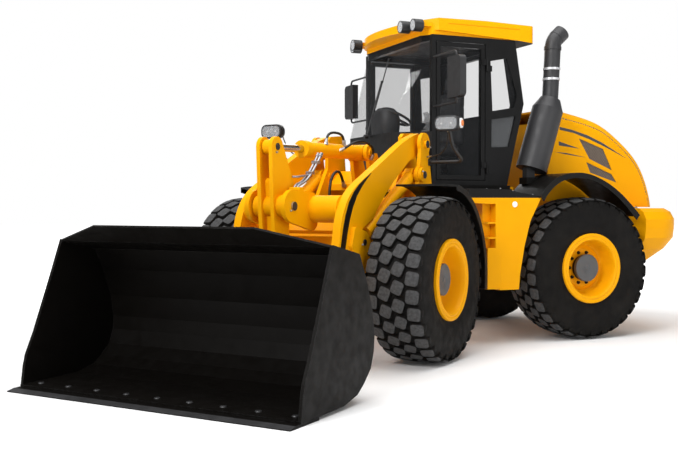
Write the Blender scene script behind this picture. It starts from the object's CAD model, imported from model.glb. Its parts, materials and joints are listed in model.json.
# Wheel loader: materials, visible detail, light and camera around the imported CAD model.
import json
from math import atan2, cos, exp, hypot, pi, radians, sin

import bmesh
import bpy
from mathutils import Matrix, Vector


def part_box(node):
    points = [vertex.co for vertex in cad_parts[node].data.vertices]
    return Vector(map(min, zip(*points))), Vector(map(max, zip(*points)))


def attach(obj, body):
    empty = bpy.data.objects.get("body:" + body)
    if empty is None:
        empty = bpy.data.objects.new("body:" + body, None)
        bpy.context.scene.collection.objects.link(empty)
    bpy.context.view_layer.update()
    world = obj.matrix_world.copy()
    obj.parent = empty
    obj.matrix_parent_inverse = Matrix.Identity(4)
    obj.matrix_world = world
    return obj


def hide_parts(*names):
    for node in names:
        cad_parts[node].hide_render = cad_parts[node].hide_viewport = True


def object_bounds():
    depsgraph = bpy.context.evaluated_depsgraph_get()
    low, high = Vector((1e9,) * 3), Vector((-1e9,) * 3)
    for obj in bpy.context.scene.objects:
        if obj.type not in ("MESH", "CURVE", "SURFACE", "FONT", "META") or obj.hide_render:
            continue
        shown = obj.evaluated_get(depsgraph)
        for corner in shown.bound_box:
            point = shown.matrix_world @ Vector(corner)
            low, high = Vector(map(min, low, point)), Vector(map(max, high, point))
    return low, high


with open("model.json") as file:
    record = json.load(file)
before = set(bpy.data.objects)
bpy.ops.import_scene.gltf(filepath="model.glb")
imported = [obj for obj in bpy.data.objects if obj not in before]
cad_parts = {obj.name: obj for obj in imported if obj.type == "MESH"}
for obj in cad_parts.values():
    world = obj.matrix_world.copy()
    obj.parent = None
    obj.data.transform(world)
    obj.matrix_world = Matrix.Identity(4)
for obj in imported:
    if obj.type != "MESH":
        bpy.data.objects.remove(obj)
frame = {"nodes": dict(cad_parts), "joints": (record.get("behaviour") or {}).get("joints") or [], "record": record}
scene = bpy.context.scene
cad_bounds = [list(corner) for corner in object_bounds()]

# ---- where the two halves stand
# Both halves are worked in the machine's straight axes, in metres: the centre hinge is on the
# origin, the machine drives towards -Y and its left side is +X.
JOINTS = {joint["name"]: joint for joint in frame["joints"]}
HINGE = Vector(JOINTS["steer"]["pos_m"]) * Vector((1, 1, 0))
cross_axis = Vector(JOINTS["lift"]["axis"])
REAR = Matrix.Translation(HINGE)
FRONT = REAR @ Matrix.Rotation(atan2(-cross_axis.y, -cross_axis.x), 4, "Z")
BODY_OF = {}
for body_name, body_nodes in frame["record"]["behaviour"]["bodies"].items():
    for node_name in body_nodes:
        BODY_OF[node_name] = body_name
SIDES = ((-1, "right"), (1, "left"))

# ---- camera and light
LENS = 49.5027
EYE = (9.056, -4.732, 1.407)
YAW = radians(66.6)
PITCH = radians(-1.27)
ROLL = radians(-0.08)
SOFTBOXES = (
    # name, place, target, width and height, watts
    ("top", (1.0, -0.5, 9.5), (0.0, 0.0, 0.0), (10.0, 10.0), 1000),
    ("key", (6.0, -9.0, 7.5), (0.0, 0.0, 1.2), (3.5, 3.5), 820),
    ("side", (10.0, 3.0, 4.0), (0.0, 1.0, 1.4), (4.0, 3.0), 150),
    ("back", (-9.0, 4.0, 6.0), (0.0, 0.0, 1.4), (6.0, 4.0), 240),
)
AMBIENT = 0.3
BACKDROP = 1.0


def add(name, data):
    """Links a new object into the scene."""
    obj = bpy.data.objects.new(name, data)
    scene.collection.objects.link(obj)
    return obj


def aim(obj, place, target, roll=0.0):
    """Puts a camera or light at a place, looking at a target."""
    look = (Vector(target) - Vector(place)).to_track_quat("-Z", "Y").to_matrix().to_4x4()
    obj.matrix_world = Matrix.Translation(place) @ look @ Matrix.Rotation(roll, 4, "Z")


def set_inputs(made, values):
    """Sets a shader node's inputs by name."""
    for key, value in values.items():
        made.inputs[key].default_value = value


camera = add("camera", bpy.data.cameras.new("camera"))
camera.data.sensor_width = 36
camera.data.lens = LENS
camera.data.clip_end = 200
eye = REAR @ Vector(EYE)
ahead = Vector((-sin(YAW) * cos(PITCH), cos(YAW) * cos(PITCH), sin(PITCH)))
aim(camera, eye, eye + ahead, ROLL)
scene.camera = camera

for name, place, target, size, watts in SOFTBOXES:
    light = add(name, bpy.data.lights.new(name, "AREA"))
    light.data.shape = "RECTANGLE"
    light.data.size, light.data.size_y = size
    light.data.energy = watts
    aim(light, place, target)

# the surroundings light the machine softly, and the camera sees them as pure white
world = bpy.data.worlds.new("studio")
scene.world = world
world.use_nodes = True
surroundings = world.node_tree.nodes["Background"]
set_inputs(surroundings, {"Color": (1, 1, 1, 1)})
seen = world.node_tree.nodes.new("ShaderNodeLightPath")
strength = world.node_tree.nodes.new("ShaderNodeMapRange")
set_inputs(strength, {"To Min": AMBIENT, "To Max": BACKDROP})
world.node_tree.links.new(seen.outputs["Is Camera Ray"], strength.inputs["Value"])
world.node_tree.links.new(strength.outputs["Result"], surroundings.inputs["Strength"])
scene.view_settings.view_transform = "Standard"

# ---- how materials are made
WEAR_RADIUS = 0.012
DUST = (0.32, 0.27, 0.2)
DUST_TOP = 1.4


def node(tree, kind, **settings):
    """A shader node whose inputs or properties are set by name."""
    made = tree.nodes.new("ShaderNode" + kind)
    for key, value in settings.items():
        if key in made.inputs:
            made.inputs[key].default_value = value
        else:
            setattr(made, key, value)
    return made


def noise(tree, scale, detail=4.0):
    """Noise over the object's own coordinates, in metres."""
    place = node(tree, "TexCoord")
    texture = node(tree, "TexNoise", Scale=scale, Detail=detail)
    tree.links.new(place.outputs["Object"], texture.inputs["Vector"])
    return texture.outputs["Fac"]


def ramp(tree, value, low, high, out_low, out_high):
    """A value mapped from one range to another, clamped."""
    mapped = node(tree, "MapRange")
    set_inputs(mapped, {"From Min": low, "From Max": high, "To Min": out_low, "To Max": out_high})
    tree.links.new(value, mapped.inputs["Value"])
    return mapped.outputs["Result"]


def multiply(tree, first, second):
    """The product of two values."""
    product = node(tree, "Math", operation="MULTIPLY")
    tree.links.new(first, product.inputs[0])
    tree.links.new(second, product.inputs[1])
    return product.outputs["Value"]


def blend_colour(tree, share, low, high):
    """Two colours mixed by a share; each is a tuple or another node's output."""
    mix = node(tree, "Mix", data_type="RGBA")
    for socket, colour in ((mix.inputs[6], low), (mix.inputs[7], high)):
        if hasattr(colour, "links"):
            tree.links.new(colour, socket)
        else:
            socket.default_value = (*colour, 1)
    tree.links.new(share, mix.inputs[0])
    return mix.outputs[2]


def worn_edges(tree, base, colour, amount):
    """Another colour in broken patches where the surface bends sharply."""
    bevel = node(tree, "Bevel", samples=4, Radius=WEAR_RADIUS)
    geometry = node(tree, "NewGeometry")
    dot = node(tree, "VectorMath", operation="DOT_PRODUCT")
    tree.links.new(bevel.outputs["Normal"], dot.inputs[0])
    tree.links.new(geometry.outputs["Normal"], dot.inputs[1])
    edge = ramp(tree, dot.outputs["Value"], 0.985, 0.9, 0, 1)
    patches = ramp(tree, noise(tree, 30, 8.0), 0.45, 0.62, 0, amount)
    return blend_colour(tree, multiply(tree, edge, patches), base, colour)


def settled_dust(tree, base, amount):
    """Dust in clouds, thicker towards the ground."""
    place = node(tree, "TexCoord")
    split = node(tree, "SeparateXYZ")
    tree.links.new(place.outputs["Object"], split.inputs["Vector"])
    low_down = ramp(tree, split.outputs["Z"], DUST_TOP, 0.0, 0, amount)
    clouds = ramp(tree, noise(tree, 7, 8.0), 0.35, 0.75, 0, 1)
    return blend_colour(tree, multiply(tree, low_down, clouds), base, DUST)


def surface(name, colour, rough, metallic=0.0, spread=0.06, grain=(350, 0.02), patches=3.0,
                    wear=None, dust=0.0, specular=0.5):
    """A surface with mottled colour and gloss. Spread is how far the colour strays, grain is the
    bump's scale and strength, wear is the worn edges' colour and amount."""
    made = bpy.data.materials.new(name)
    made.use_nodes = True
    tree = made.node_tree
    shader = tree.nodes["Principled BSDF"]
    set_inputs(shader, {"Metallic": metallic, "Specular IOR Level": specular})
    dark = tuple(c * (1 - spread) for c in colour)
    light = tuple(min(1, c * (1 + spread)) for c in colour)
    base = blend_colour(tree, ramp(tree, noise(tree, patches, 6.0), 0.3, 0.7, 0, 1), dark, light)
    if wear:
        base = worn_edges(tree, base, *wear)
    if dust:
        base = settled_dust(tree, base, dust)
    tree.links.new(base, shader.inputs["Base Color"])
    gloss = noise(tree, patches * 4, 5.0)
    tree.links.new(ramp(tree, gloss, 0.3, 0.7, max(0.02, rough * 0.8), min(1, rough * 1.2)),
                   shader.inputs["Roughness"])
    bump = node(tree, "Bump", Strength=grain[1], Distance=0.01)
    tree.links.new(noise(tree, grain[0], 3.0), bump.inputs["Height"])
    tree.links.new(bump.outputs["Normal"], shader.inputs["Normal"])
    return made


def glass_material(name, tint, clear, rough=0.02):
    """Thin tinted glazing: part see-through, part mirror."""
    made = bpy.data.materials.new(name)
    made.use_nodes = True
    set_inputs(made.node_tree.nodes["Principled BSDF"], {
        "Base Color": (*tint, 1), "Roughness": rough, "Alpha": 1 - clear, "Specular IOR Level": 0.7})
    return made


def mesh_material(name, dark, light, pitch):
    """Woven wire in front of a dark hollow, seen along X."""
    made = surface(name, dark, 0.6, spread=0.15, grain=(200, 0.1))
    tree = made.node_tree
    grid = node(tree, "TexBrick", Scale=1.0, Color1=(*dark, 1), Color2=(*dark, 1), Mortar=(*light, 1))
    set_inputs(grid, {"Mortar Size": pitch * 0.18, "Brick Width": pitch, "Row Height": pitch})
    place = node(tree, "TexCoord")
    turned = node(tree, "Mapping", Rotation=(0, radians(90), 0))
    tree.links.new(place.outputs["Object"], turned.inputs["Vector"])
    tree.links.new(turned.outputs["Vector"], grid.inputs["Vector"])
    tree.links.new(grid.outputs["Color"], tree.nodes["Principled BSDF"].inputs["Base Color"])
    return made


def floor_material(name, white, clean_from, clean_to, glow):
    """A matt white floor that turns into the white background away from the machine."""
    made = surface(name, white, 0.7, spread=0.005, grain=(40, 0.0), specular=0.1)
    tree = made.node_tree
    shader = tree.nodes["Principled BSDF"]
    place = node(tree, "TexCoord")
    far = node(tree, "VectorMath", operation="LENGTH")
    tree.links.new(place.outputs["Object"], far.inputs[0])
    share = ramp(tree, far.outputs["Value"], clean_from, clean_to, glow, 1)
    set_inputs(shader, {"Emission Color": (1, 1, 1, 1)})
    tree.links.new(share, shader.inputs["Emission Strength"])
    return made


# ---- the materials
paint_yellow = surface("paint_yellow", (0.86, 0.375, 0.001), 0.4, spread=0.03, grain=(500, 0.02),
                       wear=((0.8, 0.42, 0.03), 0.25), dust=0.02, specular=0.07)
paint_black = surface("paint_black", (0.0045, 0.004, 0.0035), 0.42, spread=0.2, grain=(420, 0.05),
                      wear=((0.04, 0.04, 0.04), 0.5), dust=0.01, specular=0.2)
bucket_black = surface("bucket_black", (0.0038, 0.0031, 0.0025), 0.48, spread=0.1, grain=(260, 0.08),
                       wear=((0.03, 0.03, 0.03), 0.5), specular=0.11)
paint_frame = surface("paint_frame", (0.004, 0.004, 0.0042), 0.45, spread=0.15, grain=(420, 0.06),
                      specular=0.2)
stack_grey = surface("stack_grey", (0.022, 0.022, 0.024), 0.5, spread=0.12, grain=(300, 0.08))
stripe_grey = surface("stripe_grey", (0.05, 0.052, 0.056), 0.4, spread=0.1, grain=(500, 0.02))
hub_grey = surface("hub_grey", (0.085, 0.087, 0.09), 0.5, spread=0.15, grain=(260, 0.12))
rubber = surface("rubber", (0.0065, 0.006, 0.0057), 0.66, spread=0.22, grain=(260, 0.16), dust=0.02,
                 specular=0.1)
tread_rubber = surface("tread_rubber", (0.046, 0.046, 0.047), 0.85, spread=0.42, grain=(120, 0.5),
                       patches=42.0)
hose_rubber = surface("hose_rubber", (0.01, 0.01, 0.01), 0.5, spread=0.15, grain=(700, 0.15))
chrome = surface("chrome", (0.52, 0.53, 0.55), 0.16, metallic=1, spread=0.03, grain=(900, 0.01))
steel = surface("steel", (0.42, 0.42, 0.44), 0.38, metallic=1, spread=0.1, grain=(500, 0.06))
band_steel = surface("band_steel", (0.62, 0.62, 0.64), 0.42, metallic=0.6, spread=0.05, grain=(400, 0.03))
pipe_steel = surface("pipe_steel", (0.36, 0.36, 0.38), 0.34, metallic=0.9, spread=0.08, grain=(400, 0.03))
edge_steel = surface("edge_steel", (0.05, 0.05, 0.052), 0.45, metallic=0.5, spread=0.2, grain=(200, 0.15))
iron = surface("iron", (0.12, 0.125, 0.13), 0.55, metallic=0.4, spread=0.2, grain=(160, 0.2))
mirror_face = surface("mirror_face", (0.8, 0.82, 0.84), 0.03, metallic=1, spread=0.02, grain=(900, 0.0))
reflector = surface("reflector", (0.85, 0.86, 0.88), 0.18, metallic=0.7, spread=0.05, grain=(120, 0.2))
headliner = surface("headliner", (0.01, 0.01, 0.011), 0.8, spread=0.15, grain=(800, 0.2))
plastic = surface("plastic", (0.012, 0.012, 0.013), 0.5, spread=0.1, grain=(700, 0.12))
vinyl = surface("vinyl", (0.02, 0.02, 0.022), 0.62, spread=0.15, grain=(900, 0.25))
tail_red = surface("tail_red", (0.42, 0.008, 0.006), 0.2, spread=0.12, grain=(160, 0.3))
amber = surface("amber", (0.75, 0.22, 0.05), 0.2, spread=0.1, grain=(200, 0.2))
marker_white = surface("marker_white", (0.85, 0.85, 0.86), 0.25, spread=0.05, grain=(200, 0.1))
glazing = glass_material("glazing", (0.03, 0.032, 0.035), 0.85)
tinted_pane = glass_material("tinted_pane", (0.11, 0.115, 0.12), 0.35)
lens_clear = glass_material("lens_clear", (0.6, 0.62, 0.64), 0.7, 0.04)
vent_mesh = mesh_material("vent_mesh", (0.05, 0.035, 0.025), (0.16, 0.12, 0.09), 0.016)
floor_white = floor_material("floor_white", (0.92, 0.92, 0.92), 4.6, 8.5, 0.02)

# ---- what each CAD node is finished in
NODE_FINISH = {
    "front_fenders": paint_black, "rear_fenders": paint_black, "bucket": bucket_black,
    "cutting_edge": bucket_black, "cab_frame": paint_frame, "front_axle": paint_frame,
    "rear_axle": paint_frame, "exhaust": stack_grey, "engine": iron, "seat": vinyl,
    "steering_column": plastic, "cab_fittings": plastic, "headlamps": plastic,
    "lever_pin": steel, "link_pin": steel, "bucket_pins": steel,
}
CAD_SHARP_ANGLE = radians(28)


def node_finish(name):
    """The finish of a CAD node, told by its name."""
    if "glass" in name:
        return glazing
    if name.startswith("tyre"):
        return rubber
    if "_rod" in name:
        return chrome
    if name.startswith("door_"):
        return paint_frame
    return NODE_FINISH.get(name, paint_yellow)


for name, obj in frame["nodes"].items():
    obj.data.materials.clear()
    obj.data.materials.append(node_finish(name))
    obj.data.shade_smooth()
    obj.data.set_sharp_from_angle(angle=CAD_SHARP_ANGLE)


def second_finish(node_name, finish, half, chosen):
    """Gives another finish to the faces of a CAD node that a test of their middle and normal picks."""
    obj = frame["nodes"][node_name]
    obj.data.materials.append(finish)
    bpy.context.view_layer.update()
    to_straight = half.inverted() @ obj.matrix_world
    for face in obj.data.polygons:
        if chosen(to_straight @ face.center, to_straight.to_3x3() @ face.normal):
            face.material_index = 1


# the roof's lining, the hood's vents, the painted eye of the tilt cylinder's rod, the ends of two
# pins, the lower quarter panes and the bucket's worn lip
TILT_EYE = (-2.69, 1.9)
EYE_REACH = 0.085
second_finish("cab_roof", headliner, REAR, lambda at, normal: normal.z < -0.6 and at.z < 3.135)
second_finish("hood", vent_mesh, REAR,
              lambda at, normal: 0.611 < abs(at.x) < 0.613 and abs(normal.x) > 0.9)
second_finish("tilt_rod", paint_yellow, FRONT,
              lambda at, normal: hypot(at.y - TILT_EYE[0], at.z - TILT_EYE[1]) < EYE_REACH)
for pin_name in ("lever_pin", "link_pin"):
    second_finish(pin_name, plastic, FRONT, lambda at, normal: abs(normal.x) > 0.9)
second_finish("cab_glass", tinted_pane, REAR, lambda at, normal: abs(at.x) > 0.7 and 2.0 < at.z < 2.345)
second_finish("cutting_edge", edge_steel, FRONT, lambda at, normal: at.y < -4.29 and normal.z > 0.05)

# ---- floor
floor_mesh = bpy.data.meshes.new("floor")
shape = bmesh.new()
bmesh.ops.create_circle(shape, cap_ends=True, segments=96, radius=60)
shape.to_mesh(floor_mesh)
shape.free()
floor = add("floor", floor_mesh)
floor.location.z = cad_bounds[0][2] - 0.001
floor_mesh.materials.append(floor_white)

# ---- how pieces are made
ACROSS = Vector((1, 0, 0))
ALONG = Vector((0, 1, 0))
UP = Vector((0, 0, 1))
# the two directions across an axis, and the axis
AXES = {"X": (ALONG, UP, ACROSS), "Y": (ACROSS, UP, ALONG), "Z": (ACROSS, ALONG, UP)}
# how two coordinates in a plane and a third across it make a point
IN_PLANE = {
    "YZ": lambda a, b, across: (across, a, b),
    "XY": lambda a, b, across: (a, b, across),
    "XZ": lambda a, b, across: (a, across, b),
}


def piece(name, shape, finish, carrier, place, smooth=40):
    """Turns a bmesh in a half's straight axes into a piece that rides with a CAD node."""
    bmesh.ops.remove_doubles(shape, verts=shape.verts, dist=1e-6)
    bmesh.ops.recalc_face_normals(shape, faces=shape.faces)
    mesh = bpy.data.meshes.new(name)
    shape.to_mesh(mesh)
    shape.free()
    for one in finish if isinstance(finish, list) else [finish]:
        mesh.materials.append(one)
    mesh.shade_smooth()
    mesh.set_sharp_from_angle(angle=radians(smooth))
    obj = add(name, mesh)
    obj.matrix_world = place
    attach(obj, BODY_OF[carrier])
    return obj


def ring_faces(shape, loops, closed=True, caps=False, material=0):
    """Skins consecutive loops of points with quads."""
    rows = [[shape.verts.new(point) for point in loop] for loop in loops]
    count = len(rows[0])
    last = count if closed else count - 1
    for low, high in zip(rows, rows[1:]):
        for i in range(last):
            j = (i + 1) % count
            face = shape.faces.new((low[i], low[j], high[j], high[i]))
            face.material_index = material
    if caps:
        for row in (rows[0], rows[-1]):
            face = shape.faces.new(row)
            face.material_index = material


def lathe(shape, profile, centre=(0, 0, 0), axis="X", steps=64, material=0):
    """Spins (along the axis, radius) points about an axis through a centre."""
    first, second, way = AXES[axis]
    turns = [2 * pi * i / steps for i in range(steps)]
    loops = []
    for along, radius in profile:
        middle = Vector(centre) + way * along
        loops.append([middle + (first * cos(a) + second * sin(a)) * radius for a in turns])
    ring_faces(shape, loops, material=material)


def tube(shape, points, radius, steps=12, material=0):
    """A round bar or hose skin along points, with its ends closed."""
    path = [Vector(point) for point in points]
    turns = [2 * pi * k / steps for k in range(steps)]
    loops = []
    side = Vector((0.3, 0.2, 0.93))
    for i, point in enumerate(path):
        ahead = path[min(i + 1, len(path) - 1)] - path[max(i - 1, 0)]
        ahead.normalize()
        side = (side - ahead * side.dot(ahead)).normalized()
        other = ahead.cross(side)
        loops.append([point + (side * cos(a) + other * sin(a)) * radius for a in turns])
    ring_faces(shape, loops, caps=True, material=material)


def bend_path(corners, radius, steps=6):
    """Points along straight runs whose corners are rounded."""
    corners = [Vector(corner) for corner in corners]
    points = [corners[0]]
    for before, corner, after in zip(corners, corners[1:], corners[2:]):
        back = before - corner
        on = after - corner
        cut = min(radius, back.length * 0.5, on.length * 0.5)
        start = corner + back.normalized() * cut
        end = corner + on.normalized() * cut
        for k in range(steps + 1):
            t = k / steps
            points.append(start * (1 - t) ** 2 + corner * 2 * t * (1 - t) + end * t ** 2)
    points.append(corners[-1])
    return points


def slab(shape, outline, low, high, flat="YZ", bevel=0.0, material=0):
    """A plate from an outline, between two places along the axis across it."""
    levels = [(low, 0.0), (high, 0.0)]
    if bevel:
        levels = [(low, bevel), (low + bevel, 0.0), (high - bevel, 0.0), (high, bevel)]
    middle = Vector((sum(p[0] for p in outline), sum(p[1] for p in outline))) / len(outline)
    loops = []
    for level, inset in levels:
        loop = []
        for a, b in outline:
            point = Vector((a, b))
            towards = middle - point
            point += towards.normalized() * inset if towards.length > inset else towards
            loop.append(IN_PLANE[flat](point.x, point.y, level))
        loops.append(loop)
    ring_faces(shape, loops, caps=True, material=material)


def plate(*settings):
    """A shape that is one slab."""
    shape = bmesh.new()
    slab(shape, *settings)
    return shape


def side_plates(outline, inner, outer):
    """A plate of any outline in the YZ plane, on both sides of the machine."""
    shape = bmesh.new()
    for side in (-1, 1):
        ring_faces(shape, [[(side * x, y, z) for y, z in outline] for x in (inner, outer)], caps=True)
    return shape


def sticker(outline, face):
    """Side plates that stand a hair proud of a face."""
    return side_plates(outline, face - 0.001, face + 0.0012)


def rounded(width, height, radius, steps=5, centre=(0, 0)):
    """The outline of a rounded rectangle."""
    points = []
    for corner, (sx, sy) in enumerate(((1, 1), (-1, 1), (-1, -1), (1, -1))):
        middle = (centre[0] + sx * (width / 2 - radius), centre[1] + sy * (height / 2 - radius))
        for k in range(steps + 1):
            angle = pi / 2 * (corner + k / steps)
            points.append((middle[0] + radius * cos(angle), middle[1] + radius * sin(angle)))
    return points


def hex_bolt(shape, centre, across, height, axis="X", material=0):
    """A hexagon head on a small washer; a negative height points the other way."""
    washer = height * 0.2
    disc = [(0, 0), (0, across * 0.75), (washer, across * 0.75), (washer, 0)]
    lathe(shape, disc, centre, axis, 16, material)
    head = [(washer, 0), (washer, across * 0.58), (height * 0.9, across * 0.58), (height, across * 0.5),
            (height, 0)]
    lathe(shape, head, centre, axis, 6, material)


# ---- tyres
TYRE_R = 0.745
TYRE_HALF = 0.26
BEAD_HALF = 0.228
BEAD_R = 0.3185
RIM_EDGE_R = 0.369
SHOULDER_R = 0.69
GROOVE_R = 0.712
LUG_LIMIT = 0.252
PITCHES = 30
PITCH = 2 * pi * TYRE_R / PITCHES
TREAD_ROWS = (
    # middle, half width, half length, turn in degrees, place along the pitch
    (-0.19, 0.057, 0.062, -8, 0.5),
    (-0.061, 0.054, 0.059, -22, 0.0),
    (0.061, 0.054, 0.059, -22, 0.36),
    (0.19, 0.057, 0.062, -8, 0.86),
)
# a block's height as a share of the groove's depth, and its size there
BLOCK_LEVELS = ((0, 1.12), (0.85, 1.0), (0.97, 0.965), (1.0, 0.9), (1.0, 0.5))
SIDE_LEVELS = 3
# a shoulder lug's distance from the middle, radius and size, from the tread down the sidewall
LUG_LEVELS = ((0.225, 0.705, 1.0), (0.2485, 0.7, 1.0), (0.2535, 0.68, 0.9), (0.246, 0.655, 0.6))
# (along, how far it drops) across a lug
LUG_EDGES = ((-0.038, 0.004), (-0.0304, 0), (0.0304, 0), (0.038, 0.004))


def crown(across):
    """Radius of the tread's surface at a distance from the middle of the tyre."""
    return TYRE_R - 0.0005 - 0.3 * across ** 2 - (max(0, abs(across) - 0.2) * 5) ** 2 * 0.22


def tread_point(across, along, height):
    """A point at a height between the groove's floor and the tread's surface."""
    floor_r = GROOVE_R - 0.006
    radius = floor_r + (crown(across) - floor_r) * height
    turn = along / TYRE_R
    return (across, radius * sin(turn), radius * cos(turn))


def tread_block(shape, row, index):
    """One rounded block with sloping sides and a slightly rounded edge."""
    middle, half_width, half_length, degrees, phase = row
    turn = radians(degrees)
    outline = rounded(2 * half_width, 2 * half_length, 0.026, steps=3)
    loops = []
    for height, grow in BLOCK_LEVELS:
        loop = []
        for u, v in outline:
            across = middle + (u * cos(turn) - v * sin(turn)) * grow
            along = (index + phase) * PITCH + (u * sin(turn) + v * cos(turn)) * grow
            loop.append(tread_point(max(-LUG_LIMIT, min(LUG_LIMIT, across)), along, height))
        loops.append(loop)
    ring_faces(shape, loops[:SIDE_LEVELS], material=0)
    ring_faces(shape, loops[SIDE_LEVELS - 1:], material=1)
    top = shape.faces.new([shape.verts.new(point) for point in loops[-1]])
    top.material_index = 1


def shoulder_lug(shape, side, index):
    """The part of a shoulder block that runs down the sidewall."""
    phase = TREAD_ROWS[3 if side > 0 else 0][4]
    loops = []
    for across, radius, grow in LUG_LEVELS:
        loop = []
        for along, drop in LUG_EDGES:
            turn = ((index + phase) * PITCH + along * grow) / TYRE_R
            loop.append((side * (across - drop), radius * sin(turn), radius * cos(turn)))
        loops.append(loop)
    ring_faces(shape, loops, closed=False)


def tyre_shape():
    """The carcass with its bulging sidewalls, the tread's blocks and the shoulder lugs."""
    shape = bmesh.new()
    side_steps = 16
    rib_steps = (3, 13)
    outer = [(BEAD_HALF, BEAD_R), (BEAD_HALF, RIM_EDGE_R)]
    for step in range(1, side_steps + 1):
        t = step / side_steps
        bulge = (TYRE_HALF - 0.004 - BEAD_HALF) * sin(pi * t * 0.88)
        rib = 0.0022 if step in rib_steps else 0.0
        outer.append((BEAD_HALF + bulge + rib, RIM_EDGE_R + (SHOULDER_R - RIM_EDGE_R) * t))
    outer += [(0.228, 0.701), (0.19, 0.708), (0.1, GROOVE_R)]
    inner = [(-across, radius) for across, radius in reversed(outer)]
    lathe(shape, outer + inner + [outer[0]], steps=120)
    for row in TREAD_ROWS:
        for index in range(PITCHES):
            tread_block(shape, row, index)
    for side in (-1, 1):
        for index in range(PITCHES):
            shoulder_lug(shape, side, index)
    return shape


# ---- wheels
# (across, radius) profiles outwards from the middle of the wheel
RIM_PROFILE = ((0.2503, 0.3645), (0.2545, 0.3625), (0.258, 0.354), (0.258, 0.344), (0.2545, 0.3355),
               (0.2515, 0.331), (0.2515, 0.325), (0.2545, 0.321), (0.2565, 0.313), (0.255, 0.304),
               (0.248, 0.2975), (0.2, 0.2885), (0.13, 0.279), (0.09, 0.271), (0.07, 0.26),
               (0.0612, 0.243), (0.0612, 0.2995), (0.2503, 0.2998), (0.2503, 0.3645))
HUB_RING = ((0.081, 0.119), (0.084, 0.131), (0.122, 0.131), (0.122, 0.119), (0.081, 0.119))
HUB_CAP = ((0.1255, 0.0), (0.1255, 0.138), (0.132, 0.144), (0.166, 0.144), (0.1715, 0.138), (0.1715, 0.05),
           (0.169, 0.046), (0.169, 0.022), (0.173, 0.018), (0.173, 0.0))
WHEEL_BOLTS = 10
BOLT_CIRCLE_R = 0.166
DISC_FACE = 0.0795
WHEELS = (("front_left", 1, FRONT), ("front_right", -1, FRONT),
          ("rear_left", 1, REAR), ("rear_right", -1, REAR))


def wheel_lathe(shape, profile, side, steps, material=0):
    """A profile spun about the axle, outwards to one side."""
    lathe(shape, [(side * across, radius) for across, radius in profile], steps=steps, material=material)


def rim_face(side):
    """The dished face of the rim: rolled lip, second ridge and the cone down to the disc."""
    shape = bmesh.new()
    wheel_lathe(shape, RIM_PROFILE, side, 96)
    return shape


def hub_parts(side):
    """Grey cap on a dark hub, with a ring of wheel bolts."""
    shape = bmesh.new()
    wheel_lathe(shape, HUB_RING, side, 64, 1)
    wheel_lathe(shape, HUB_CAP, side, 64, 0)
    for index in range(WHEEL_BOLTS):
        turn = 2 * pi * (index + 0.5) / WHEEL_BOLTS
        at = (side * DISC_FACE, BOLT_CIRCLE_R * sin(turn), BOLT_CIRCLE_R * cos(turn))
        hex_bolt(shape, at, 0.024, side * 0.024, material=1)
    return shape


for name, side, half in WHEELS:
    low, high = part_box("tyre_" + name)
    place = Matrix.Translation((Vector(low) + Vector(high)) / 2) @ half.to_3x3().to_4x4()
    tyre = piece("treaded_tyre_" + name, tyre_shape(), [rubber, tread_rubber], "tyre_" + name, place, 35)
    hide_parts("tyre_" + name)
    piece("rim_face_" + name, rim_face(side), paint_yellow, "rim_" + name, place, 50)
    piece("hub_" + name, hub_parts(side), [hub_grey, paint_black], "rim_" + name, place, 35)

# ---- stripes on the hood
HOOD_SIDE = 0.62
STRIPES = (
    ("upper", ((1.554, 2.264), (1.718, 2.236), (1.926, 2.183), (2.138, 2.103), (2.353, 1.996), (2.49, 1.928),
               (2.31, 2.004), (2.138, 2.072), (1.947, 2.141), (1.739, 2.203), (1.554, 2.231))),
    ("middle", ((1.545, 2.105), (1.823, 2.031), (1.545, 2.06))),
    ("lower", ((1.484, 1.987), (1.637, 1.981), (1.907, 1.936), (1.699, 1.957))),
)
for name, outline in STRIPES:
    piece("hood_stripe_" + name, sticker(outline, HOOD_SIDE), stripe_grey, "hood", REAR)

# ---- two bright clamps round the exhaust stack, each with its bolt
STACK_X = 0.75
STACK_FOOT = (1.328, 2.48)
STACK_LEAN = 37 / 640
BAND_R = 0.092
BAND = ((-0.012, 0.084), (-0.012, BAND_R), (0.012, BAND_R), (0.012, 0.084), (-0.012, 0.084))
shape = bmesh.new()
for band_z in (2.864, 2.755):
    band_y = STACK_FOOT[0] + (band_z - STACK_FOOT[1]) * STACK_LEAN
    lathe(shape, BAND, (STACK_X, band_y, band_z), "Z", 48)
    hex_bolt(shape, (STACK_X - BAND_R, band_y, band_z), 0.014, -0.02)
piece("stack_bands", shape, band_steel, "exhaust", REAR)

# ---- seat
VOXEL = 0.012
PRESSURE = 4
CLOTH_FRAMES = 20
CUSHIONS = (
    # name, centre, width, depth and height, corner, most it may swell, seams
    # a seam is: the axis across it, its place on that axis, half width, depth
    ("seat_cushion", (0, 0.32, 2.01), (0.47, 0.47, 0.12), 0.05, 0.012,
     ((0, -0.12, 0.008, 0.012), (0, 0.12, 0.008, 0.012), (1, 0.42, 0.008, 0.01))),
    ("seat_back", (0, 0.56, 2.36), (0.45, 0.09, 0.61), 0.042, 0.012,
     ((0, -0.13, 0.008, 0.01), (0, 0.13, 0.008, 0.01), (2, 2.24, 0.008, 0.008), (2, 2.48, 0.008, 0.008))),
    ("headrest", (0, 0.57, 2.752), (0.26, 0.075, 0.165), 0.035, 0.008, ((0, 0.0, 0.006, 0.004),)),
)


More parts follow.
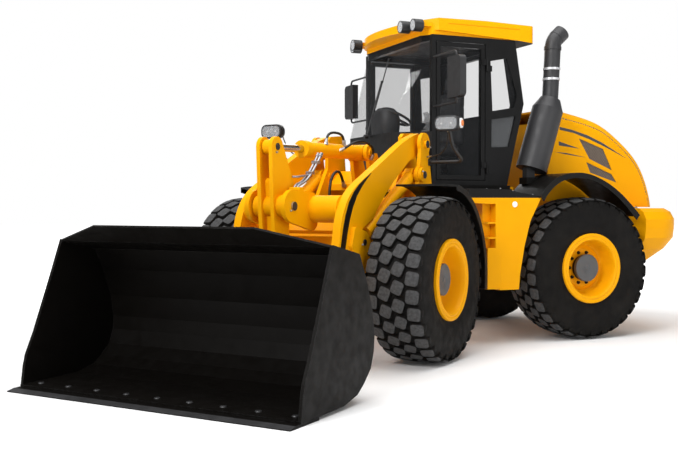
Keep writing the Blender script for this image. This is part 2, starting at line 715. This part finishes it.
def soft_block(centre, size, corner):
    """A block with rounded corners and edges."""
    shape = bmesh.new()
    width, depth, height = size
    levels = 6
    lower = []
    for k in range(levels + 1):
        turn = pi / 2 * k / levels
        lower.append((-height / 2 + corner * (1 - cos(turn)), corner * (1 - sin(turn))))
    rows = []
    for z, inset in lower + [(-z, inset) for z, inset in reversed(lower)]:
        outline = rounded(width - 2 * inset, depth - 2 * inset, max(0.012, corner - inset * 0.5))
        rows.append([(centre[0] + x, centre[1] + y, centre[2] + z) for x, y in outline])
    ring_faces(shape, rows, caps=True)
    return shape


def bake(obj):
    """Turns what the modifiers make into the piece's own mesh."""
    depsgraph = bpy.context.evaluated_depsgraph_get()
    mesh = bpy.data.meshes.new_from_object(obj.evaluated_get(depsgraph))
    obj.modifiers.clear()
    obj.data = mesh


def remesh(obj):
    """Covers a block with small even faces."""
    modifier = obj.modifiers.new("remesh", "REMESH")
    modifier.mode = "VOXEL"
    modifier.voxel_size = VOXEL
    bake(obj)


def blow_up(obj):
    """Lets the cover swell as cloth under pressure."""
    cloth = obj.modifiers.new("cloth", "CLOTH")
    cloth.settings.use_pressure = True
    cloth.settings.uniform_pressure_force = PRESSURE
    cloth.settings.effector_weights.gravity = 0
    for number in range(1, CLOTH_FRAMES + 1):
        scene.frame_set(number)
    bake(obj)
    scene.frame_set(1)


def press_seams(obj, centre, seams):
    """Presses sewn channels into the cover, towards the cushion's middle."""
    for vertex in obj.data.vertices:
        for axis, place, width, depth in seams:
            off = abs(vertex.co[axis] - place)
            if off < width * 3:
                inward = Vector(centre) - vertex.co
                inward[axis] = 0
                vertex.co += inward.normalized() * depth * exp(-(off / width) ** 2)


def cushion(name, centre, size, corner, cap, seams):
    """A padded piece: blown up as cloth, then sewn."""
    obj = piece(name, soft_block(centre, size, corner), vinyl, "seat", REAR, 180)
    remesh(obj)
    start = [vertex.co.copy() for vertex in obj.data.vertices]
    blow_up(obj)
    for vertex, rest in zip(obj.data.vertices, start):
        moved = vertex.co - rest
        if moved.length > cap:
            vertex.co = rest + moved.normalized() * cap
    press_seams(obj, centre, seams)
    finer = obj.modifiers.new("finer", "SUBSURF")
    finer.levels = 1
    finer.render_levels = 1
    bake(obj)
    obj.data.shade_smooth()


for row in CUSHIONS:
    cushion(*row)
# the suspension's bellows between two plates, and the headrest's two rods
shape = bmesh.new()
fold = 0.052
for level in range(5):
    z = 1.655 + level * fold
    lathe(shape, [(z, 0.155), (z + fold / 4, 0.172), (z + fold * 3 / 4, 0.172), (z + fold, 0.155)],
          (0, 0.33, 0), "Z", 4)
slab(shape, rounded(0.36, 0.36, 0.03, centre=(0, 0.33)), 1.64, 1.66, "XY")
slab(shape, rounded(0.4, 0.4, 0.03, centre=(0, 0.33)), 1.914, 1.936, "XY")
for x in (-0.06, 0.06):
    tube(shape, [(x, 0.565, 2.6), (x, 0.57, 2.7)], 0.008)
base = piece("seat_base", shape, plastic, "seat", REAR)
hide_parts("seat")

# ---- ends of the linkage's pins
PIN_FACES = (
    # carrying node, half width at the pin's end, place (y, z), pin radius, keeper bolt's turn in degrees
    ("lift_arms", 0.2, (-2.632, 1.4), 0.036, 230),
    ("bellcrank", 0.08, (-2.69, 1.9), 0.03, 200),
    ("front_chassis", 0.645, (-0.9, 2.0), 0.036, 120),
    ("front_chassis", 0.661, (-1.0, 1.7), 0.036, 300),
    ("lift_arms", 0.583, (-2.085, 1.085), 0.028, 250),
    ("bucket_pins", 0.626, (-3.035, 0.44), 0.036, 60),
)


def pin_ends(across, place, radius, degrees):
    """The dark dished ends of a pin, each with its keeper's bolt, on both sides of the machine."""
    shape = bmesh.new()
    turn = radians(degrees)
    reach = radius + 0.022
    for side in (-1, 1):
        x = side * (across + 0.0005)
        profile = [(0, 0.0), (0, radius), (side * 0.006, radius), (side * 0.008, radius - 0.004),
                   (side * 0.004, radius * 0.45), (side * 0.002, 0.0)]
        lathe(shape, profile, (x, *place), "X", 28)
        at = (x, place[0] + reach * sin(turn), place[1] + reach * cos(turn))
        hex_bolt(shape, at, 0.013, side * 0.014, material=1)
    return shape


for index, (carrier, *pin) in enumerate(PIN_FACES):
    piece(f"pin_end_{index + 1}", pin_ends(*pin), [plastic, steel], carrier, FRONT)

# ---- black stripes on the arms
ARM_SIDE = 0.55
ARM_STRIPE = (
    # middle y and z, width; the stripe follows the arm's front edge and tapers out at its top
    (-1.9, 1.722, 0.004), (-2.0, 1.668, 0.018), (-2.1, 1.608, 0.036), (-2.19, 1.538, 0.05),
    (-2.27, 1.445, 0.06), (-2.33, 1.335, 0.064), (-2.375, 1.21, 0.064), (-2.41, 1.08, 0.062),
    (-2.45, 0.96, 0.06),
)
STRIPE_DROP = 0.03


def stripe_edge(way):
    """One long edge of the arm's stripe: way is 1 for the rear edge and -1 for the front edge."""
    return [(y + way * width * 0.6, z - way * width * 0.35 - STRIPE_DROP) for y, z, width in ARM_STRIPE]


arm_outline = stripe_edge(-1) + stripe_edge(1)[::-1]
piece("arm_stripe", sticker(arm_outline, ARM_SIDE), paint_black, "lift_arms", FRONT)

# ---- pipes of the quick coupler
PIPE_ROUTE = ((-2.1, 1.84), (-2.17, 1.765), (-2.245, 1.69), (-2.345, 1.615), (-2.47, 1.575), (-2.5, 1.535))
PIPE_X = (0.112, 0.144)
PIPE_R = 0.0115
CLAMP_X = (0.097, 0.159)
# two bent pipes with nuts at their upper ends, a cross pipe and two clamps
shape = bmesh.new()
along = Vector((0, 0.68, 0.73))
for x in PIPE_X:
    tube(shape, bend_path([(x, y, z) for y, z in PIPE_ROUTE], 0.06), PIPE_R, 14)
    for back, radius in ((0.0, 0.018), (0.022, 0.015)):
        start = Vector((x, *PIPE_ROUTE[0])) + along * back
        tube(shape, [start, start + along * 0.018], radius, 6)
cross_pipe = [(0.098, -2.49, 1.652), (0.125, -2.44, 1.652), (0.128, -2.25, 1.676)]
tube(shape, bend_path(cross_pipe, 0.05), 0.009, 12)
for clamp in ((-2.245, 1.69), (-2.15, 1.787)):
    slab(shape, rounded(0.055, 0.03, 0.008, centre=clamp), *CLAMP_X, "YZ", 0.003)
piece("coupler_pipes", shape, pipe_steel, "lift_arms", FRONT)
coupler_block = plate(rounded(0.075, 0.055, 0.01, centre=(-2.505, 1.535)), 0.096, 0.1995, "YZ", 0.003)
piece("coupler_block", coupler_block, paint_yellow, "lift_arms", FRONT)


# ---- hoses
def spline_points(points, steps=40):
    """Points along the clamped quadratic spline that a NURBS curve of order three draws."""
    points = [Vector(point) for point in points]
    inner = len(points) - 3
    knots = [0] * 3 + [k + 1 for k in range(inner)] + [inner + 1] * 3
    found = []
    for step in range(steps * (inner + 1) + 1):
        t = min(step / steps, inner + 1 - 1e-9)
        span = int(t) + 2
        near = points[span - 2:span + 1]
        for level in (1, 2):
            for k in range(2, level - 1, -1):
                i = span - 2 + k
                share = (t - knots[i]) / (knots[i + 3 - level] - knots[i])
                near[k] = near[k - 1] * (1 - share) + near[k] * share
        found.append(near[2])
    return found


def fittings(path, radius):
    """A crimped sleeve and a hexagon nut at both ends of a hose."""
    shape = bmesh.new()
    for end, after in ((path[0], path[6]), (path[-1], path[-7])):
        way = (after - end).normalized()
        tube(shape, [end - way * 0.01, end + way * 0.045], radius * 1.35, 16)
        tube(shape, [end - way * 0.012, end + way * 0.01], radius * 1.75, 6)
    return shape


def hose(name, route, radius, carrier):
    """A hose of the front half, held at both ends by one body, declared as a cord."""
    data = bpy.data.curves.new(name, "CURVE")
    data.dimensions = "3D"
    line = data.splines.new("NURBS")
    line.points.add(len(route) - 1)
    for point, place in zip(line.points, route):
        point.co = (*place, 1)
    line.order_u = 3
    line.use_endpoint_u = True
    line.resolution_u = 10
    data.bevel_depth = radius
    data.bevel_resolution = 4
    data.use_fill_caps = True
    data.materials.append(hose_rubber)
    obj = add(name, data)
    obj.matrix_world = FRONT
    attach(obj, BODY_OF[carrier])
    path = spline_points(route)
    ends = piece(name + "_fittings", fittings(path, radius), steel, carrier, FRONT)


HOSE_R = 0.012
TOWER_HOSE_R = 0.014
CABLE_R = 0.006
hose("supply_hose",
     ((0.072, -1.6, 1.925), (0.118, -1.592, 1.945), (0.145, -1.52, 1.99), (0.152, -1.38, 2.02),
      (0.155, -1.23, 2.015), (0.155, -1.12, 1.975), (0.15, -1.085, 1.915), (0.128, -1.085, 1.865)),
     HOSE_R, "tilt_barrel")
hose("return_hose",
     ((0.04, -1.82, 1.978), (0.042, -1.812, 2.04), (0.046, -1.74, 2.085), (0.046, -1.56, 2.085),
      (0.042, -1.488, 2.04), (0.04, -1.48, 1.982)),
     HOSE_R, "tilt_barrel")
hose("tower_hose",
     ((-0.2, -1.345, 1.462), (-0.2, -1.35, 1.56), (-0.2, -1.3, 1.7), (-0.2, -1.18, 1.755),
      (-0.2, -1.1, 1.7), (-0.2, -1.06, 1.605)),
     TOWER_HOSE_R, "front_chassis")
LAMP_CABLE = ((0.93, -1.068, 2.14), (0.92, -1.035, 2.06), (0.88, -0.98, 1.96), (0.8, -0.92, 1.9),
              (0.7, -0.875, 1.885), (0.632, -0.86, 1.88))
for side, name in SIDES:
    hose("lamp_cable_" + name, [(side * x, y, z) for x, y, z in LAMP_CABLE], CABLE_R, "headlamps")

# ---- headlamps
LAMP = (0.974, -1.136, 2.168)
LAMP_FACE = LAMP[1] - 0.06
# (depth behind the face, width, height) of the shell
LAMP_SHELL = ((-0.01, 0.244, 0.144), (0.02, 0.246, 0.146), (0.06, 0.236, 0.138), (0.09, 0.205, 0.118),
              (0.108, 0.16, 0.09), (0.118, 0.095, 0.052))
STALK = ((0.621, -0.8, 1.83), (0.974, -0.8, 1.83), (0.974, -1.06, 1.96), (0.974, -1.136, 2.115))
STALK_R = 0.016
# (place across, radius) of the main and the dipped beam
BEAMS = ((-0.052, 0.046), (0.045, 0.036))


def lamp_outline(side, width, height, corner):
    """A rounded outline round the middle of a headlamp."""
    return rounded(width, height, corner, 6, (side * LAMP[0], LAMP[2]))


def lamp_housing(side):
    """The shell that tapers to the back, and the bent stalk with its foot on the tower."""
    shape = bmesh.new()
    shell = []
    for depth, width, height in LAMP_SHELL:
        outline = lamp_outline(side, width, height, height * 0.4)
        shell.append([(x, LAMP_FACE + depth, z) for x, z in outline])
    ring_faces(shape, shell, caps=True)
    tube(shape, bend_path([(side * x, y, z) for x, y, z in STALK], 0.06), STALK_R, 14)
    foot = rounded(0.07, 0.07, 0.012, 3, STALK[0][1:])
    slab(shape, foot, side * 0.6212, side * 0.629, "YZ", 0.002)
    return shape


def lamp_bowl(side):
    """A bright back plate with two round reflectors and their bulbs."""
    shape = bmesh.new()
    slab(shape, lamp_outline(side, 0.226, 0.126, 0.05), LAMP_FACE - 0.004, LAMP_FACE + 0.001, "XZ", 0.001)
    bulb = [(-0.0045, 0.0), (-0.012, 0.006), (-0.016, 0.008), (-0.018, 0.0)]
    for off, radius in BEAMS:
        at = (side * (LAMP[0] + off), LAMP_FACE, LAMP[2])
        bowl = [(-0.0045, 0.0), (-0.0045, radius * 0.3), (-0.0085, radius * 0.9), (-0.01, radius),
                (-0.0045, radius + 0.003)]
        lathe(shape, bowl, at, "Y", 32)
        lathe(shape, bulb, at, "Y", 16, 2)
    return shape


def lamp_rim(side):
    """The raised frame round the lens."""
    shape = bmesh.new()
    outside = lamp_outline(side, 0.236, 0.136, 0.052)
    inside = lamp_outline(side, 0.212, 0.112, 0.044)
    rings = []
    for line, depth in ((outside, 0.012), (outside, -0.02), (inside, -0.024), (inside, 0.0)):
        rings.append([(x, LAMP_FACE + depth, z) for x, z in line])
    ring_faces(shape, rings + rings[:1])
    return shape


def turn_signal(side):
    """A white lens on the lamp's outer end, with an amber one on it."""
    shape = bmesh.new()
    for step, width, height, tone in ((0.0, 0.082, 0.094, 0), (0.01, 0.046, 0.056, 1)):
        outline = rounded(width, height, height * 0.38, 6, (LAMP[1] - 0.01 + step * 0.5, LAMP[2]))
        slab(shape, outline, side * (LAMP[0] + 0.116 + step), side * (LAMP[0] + 0.13 + step * 0.9), "YZ",
             0.004, tone)
    return shape


for side, name in SIDES:
    housing = piece("lamp_housing_" + name, lamp_housing(side), plastic, "headlamps", FRONT)
    if name == "right":
        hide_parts("headlamps")
    piece("lamp_bowl_" + name, lamp_bowl(side), [reflector, plastic, marker_white], "headlamps", FRONT)
    piece("lamp_rim_" + name, lamp_rim(side), plastic, "headlamps", FRONT)
    lens = plate(lamp_outline(side, 0.214, 0.114, 0.044), LAMP_FACE - 0.022, LAMP_FACE - 0.019, "XZ", 0.001)
    piece("lamp_lens_" + name, lens, lens_clear, "headlamps", FRONT)
    piece("turn_signal_" + name, turn_signal(side), [marker_white, amber], "headlamps", FRONT)

# ---- work lamps under the roof's rim
WORK_LAMPS = ((0.585, -0.38), (0.734, -0.315))
WORK_LAMP_Z = 3.215
# (along the lamp's axis, radius) profiles
WORK_RIM = ((-0.0005, 0.062), (-0.01, 0.062), (-0.012, 0.056), (-0.002, 0.052), (-0.0005, 0.062))
WORK_BOWL = ((-0.001, 0.0), (-0.0015, 0.018), (-0.0055, 0.05), (-0.007, 0.053), (-0.001, 0.053))
WORK_LENS = ((-0.008, 0.0), (-0.008, 0.053), (-0.0075, 0.0545), (-0.0068, 0.053), (-0.0068, 0.0))
for index, (lamp_x, lamp_y) in enumerate(WORK_LAMPS):
    for side, name in SIDES:
        at = (side * lamp_x, lamp_y, WORK_LAMP_Z)
        shape = bmesh.new()
        lathe(shape, WORK_RIM, at, "Y", 40, 1)
        lathe(shape, WORK_BOWL, at, "Y", 40, 0)
        piece(f"work_lamp_bowl_{name}_{index + 1}", shape, [reflector, plastic], "cab_fittings", REAR)
        shape = bmesh.new()
        lathe(shape, WORK_LENS, at, "Y", 40)
        piece(f"work_lamp_lens_{name}_{index + 1}", shape, lens_clear, "cab_fittings", REAR)

# ---- mirrors
MIRROR = (1.24, -0.112, 2.647)
for side, name in SIDES:
    outline = rounded(0.205, 0.36, 0.04, centre=(side * MIRROR[0], MIRROR[2]))
    glass = plate(outline, MIRROR[1] + 0.0345, MIRROR[1] + 0.0375, "XZ", 0.001)
    piece("mirror_glass_" + name, glass, mirror_face, "cab_fittings", REAR)

# ---- console under the steering wheel
CONSOLE = (0.0, -0.265)
# (height, width, depth) from the cab's floor up over the hooded instrument panel
CONSOLE_LEVELS = ((1.645, 0.3, 0.24), (1.9, 0.27, 0.215), (2.1, 0.3, 0.23), (2.24, 0.36, 0.25),
                  (2.33, 0.37, 0.25), (2.4, 0.32, 0.22), (2.445, 0.22, 0.15), (2.46, 0.1, 0.07))
shape = bmesh.new()
console = []
for z, width, depth in CONSOLE_LEVELS:
    console.append([(x, y, z) for x, y in rounded(width, depth, depth * 0.45, 6, CONSOLE)])
ring_faces(shape, console, caps=True)
piece("console_hood", shape, plastic, "steering_column", REAR, 60)

# ---- door handles: a bow and a lock on their plate
DOOR_SIDE = 0.785
HANDLE_PATH = ((0.006, -0.02, 2.3), (0.05, -0.02, 2.29), (0.05, -0.02, 2.21), (0.006, -0.02, 2.2))
for side, name in SIDES:
    shape = bmesh.new()
    outer = side * DOOR_SIDE
    plate_face = outer + side * 0.012
    slab(shape, rounded(0.09, 0.13, 0.02, 4, (0.0, 2.25)), outer, plate_face, "YZ", 0.003)
    tube(shape, bend_path([(outer + side * x, y, z) for x, y, z in HANDLE_PATH], 0.02), 0.009, 10, 1)
    lock = [(0, 0.0), (0, 0.016), (side * 0.006, 0.014), (side * 0.006, 0.0)]
    lathe(shape, lock, (plate_face, 0.028, 2.28), "X", 20, 1)
    piece("door_handle_" + name, shape, [plastic, chrome], "door_" + name, REAR)

# ---- windscreen wiper: motor boss, arm and blade, laid along the screen
SCREEN_FOOT = Vector((0.0, -0.456, 2.153))
SCREEN_HEAD = Vector((0.0, -0.18, 3.07))
shape = bmesh.new()
up = (SCREEN_HEAD - SCREEN_FOOT).normalized()
out = Vector((0, -up.z, up.y))
root = SCREEN_FOOT + out * 0.028 - up * 0.02
tip = SCREEN_FOOT + up * 0.6 + out * 0.03
tube(shape, [root, root + up * 0.25 + out * 0.004, tip], 0.008, 8)
tube(shape, [tip - up * 0.3 - out * 0.012, tip + up * 0.27 - out * 0.012], 0.007, 6)
tube(shape, [tip - out * 0.018, tip + out * 0.006], 0.012, 8)
lathe(shape, [(-0.03, 0.0), (-0.03, 0.022), (0.012, 0.022), (0.012, 0.0)], tuple(root), "Y", 20)
piece("wiper", shape, plastic, "cab_frame", REAR)

# ---- ring on the roof
ROOF_RING = Vector((0.45, 0.1, 3.316))
shape = bmesh.new()
turns = [radians(degrees) for degrees in range(-60, 241, 12)]
tube(shape, [ROOF_RING + Vector((0, 0.026 * cos(a), 0.01 * sin(a))) for a in turns], 0.0025, 8)
piece("roof_ring", shape, steel, "cab_roof", REAR)

# ---- flap between the cab's sill and the platform
SILL = ((0.08, 1.56), (0.08, 1.612), (0.8, 1.612), (0.8, 1.505), (0.47, 1.555))
piece("sill_flap", side_plates(SILL, 0.69, 0.792), rubber, "rear_fenders", REAR)

# ---- lifting eye on the counterweight: a round foot, a short shank and the ring
LIFTING_EYE = (0.6, 2.62)
EYE_FOOT_Z = 1.369
EYE_Z = 1.445
EYE_R = 0.04
shape = bmesh.new()
x, y = LIFTING_EYE
lathe(shape, [(0.0, 0.028), (0.018, 0.028), (0.024, 0.02), (0.024, 0.0)], (x, y, EYE_FOOT_Z), "Z", 24)
tube(shape, [(x, y, 1.385), (x, y, 1.408)], 0.014, 16)
turns = [radians(degrees) for degrees in range(0, 361, 12)]
tube(shape, [(x, y + EYE_R * sin(a), EYE_Z + EYE_R * cos(a)) for a in turns], 0.009, 12)
piece("lifting_eye", shape, chrome, "counterweight", REAR)

# ---- tail lamps on the counterweight's flat: a black base, a red lens outside and an amber one inside
TAIL = (0.6, 2.93, 1.2)
TAIL_BASE = (0.25, 0.094, 0.02)
TAIL_LENS = (0.106, 0.074, 0.016)
LENS_OFFSET = 0.058
shape = bmesh.new()
for side in (-1, 1):
    slab(shape, rounded(*TAIL_BASE, centre=(side * TAIL[0], TAIL[2])), TAIL[1] - 0.012, TAIL[1] + 0.016,
         "XZ", 0.003)
    for offset, tone in ((LENS_OFFSET, 1), (-LENS_OFFSET, 2)):
        slab(shape, rounded(*TAIL_LENS, centre=(side * (TAIL[0] + offset), TAIL[2])), TAIL[1] + 0.012,
             TAIL[1] + 0.03, "XZ", 0.004, tone)
piece("tail_lamps", shape, [plastic, tail_red, amber], "counterweight", REAR)

# ---- reflectors and bolts
TANK_SIDE = 1.15
REFLECTOR = ((0, 0.0), (0, 0.03), (0.006, 0.028), (0.007, 0.0))
shape = bmesh.new()
for side in (-1, 1):
    profile = [(side * along, radius) for along, radius in REFLECTOR]
    lathe(shape, profile, (side * TANK_SIDE, 0.617, 1.414), "X", 32)
piece("side_reflectors", shape, marker_white, "side_tanks", REAR)

PLATFORM_BOLTS = ((0.47, 1.5695), (0.62, 1.546), (0.86, 1.51))
shape = bmesh.new()
for side in (-1, 1):
    for y, z in PLATFORM_BOLTS:
        for x in (1.11, 0.86):
            hex_bolt(shape, (side * x, y, z), 0.012, 0.01, "Z")
piece("platform_bolts", shape, steel, "rear_fenders", REAR)

# ---- what the open hood shows
ENGINE_SIDE = 0.26
ENGINE_TOP = 1.82
CYLINDERS = 6
FIRST_CYLINDER = 1.62
BORE_PITCH = 0.132
MANIFOLD = (0.335, 1.76)
TURBO = ((-0.075, 0.0), (-0.075, 0.05), (-0.05, 0.085), (0.0, 0.06), (0.05, 0.095), (0.075, 0.05),
         (0.075, 0.0))
CLEANER = (-0.4, 1.95, 1.8)
CANISTER = ((-0.24, 0.0), (-0.24, 0.092), (-0.225, 0.105), (0.2, 0.105), (0.215, 0.095), (0.24, 0.05),
            (0.24, 0.0))
STRAP = ((-0.012, 0.104), (-0.012, 0.109), (0.012, 0.109), (0.012, 0.104))
INTAKE = ((-0.4, 2.18, 1.8), (-0.4, 2.28, 1.8), (-0.15, 2.28, 1.96), (0.3, 2.12, 1.98),
          (0.335, 1.96, 1.93))
FIN_Z = 1.53
FILLER_CAP = ((-0.005, 0.045), (0.03, 0.045), (0.036, 0.036), (0.036, 0.0))
RADIATOR_BACK = 2.505
FINS = 36
FIN_SPAN = 0.84
# slots of the engine's piece
COVER, BRIGHT, CAST, BLACK = range(4)

shape = bmesh.new()
# the rocker cover and its bolts, and six runners into the manifold with the turbo on top
pipe_x, pipe_z = MANIFOLD
slab(shape, rounded(0.3, 0.82, 0.05, centre=(0, 1.95)), ENGINE_TOP - 0.01, ENGINE_TOP + 0.085, "XY",
     0.02, COVER)
for cylinder in range(CYLINDERS):
    y = FIRST_CYLINDER + BORE_PITCH * cylinder
    hex_bolt(shape, (0, y, ENGINE_TOP + 0.084), 0.02, 0.02, "Z", BRIGHT)
    runner = [(ENGINE_SIDE - 0.01, y, 1.68), (pipe_x, y, 1.68), (pipe_x, y, pipe_z)]
    tube(shape, bend_path(runner, 0.04), 0.024, 12, CAST)
tube(shape, [(pipe_x, 1.58, pipe_z), (pipe_x, 2.32, pipe_z)], 0.038, 16, CAST)
lathe(shape, TURBO, (pipe_x, 1.95, pipe_z + 0.1), "X", 32, CAST)
# the air cleaner on two strapped brackets, and its pipe across to the turbo
x, middle, z = CLEANER
lathe(shape, CANISTER, CLEANER, "Y", 40, BLACK)
for y in (middle - 0.12, middle + 0.12):
    tube(shape, [(0.01 - ENGINE_SIDE, y, 1.74), (x, y, 1.74)], 0.016, 10, BRIGHT)
    lathe(shape, STRAP, (x, y, z), "Y", 40, BRIGHT)
tube(shape, bend_path(INTAKE, 0.1), 0.036, 16, BLACK)
# upright fins on the radiator's back, and its filler cap
for fin in range(FINS):
    outline = rounded(0.008, 0.56, 0.003, 1, (FIN_SPAN * (fin / (FINS - 1) - 0.5), FIN_Z))
    slab(shape, outline, RADIATOR_BACK - 0.002, RADIATOR_BACK + 0.01, "XZ", 0, CAST)
lathe(shape, FILLER_CAP, (0.25, 2.44, 1.86), "Z", 24, BRIGHT)
piece("engine_dress", shape, [stack_grey, steel, iron, plastic], "engine", REAR)

# ---- bolts of the cutting edge
EDGE_BOLTS = 9
EDGE_BOLT_SPAN = 2.32
EDGE_BOLT = ((0, 0.0), (0, 0.026), (0.009, 0.021), (0.011, 0.01), (0.009, 0.0))
shape = bmesh.new()
for k in range(EDGE_BOLTS):
    x = EDGE_BOLT_SPAN * (k / (EDGE_BOLTS - 1) - 0.5)
    lathe(shape, EDGE_BOLT, (x, -4.13, 0.0355), "Z", 20)
piece("edge_bolts", shape, edge_steel, "bucket", FRONT)
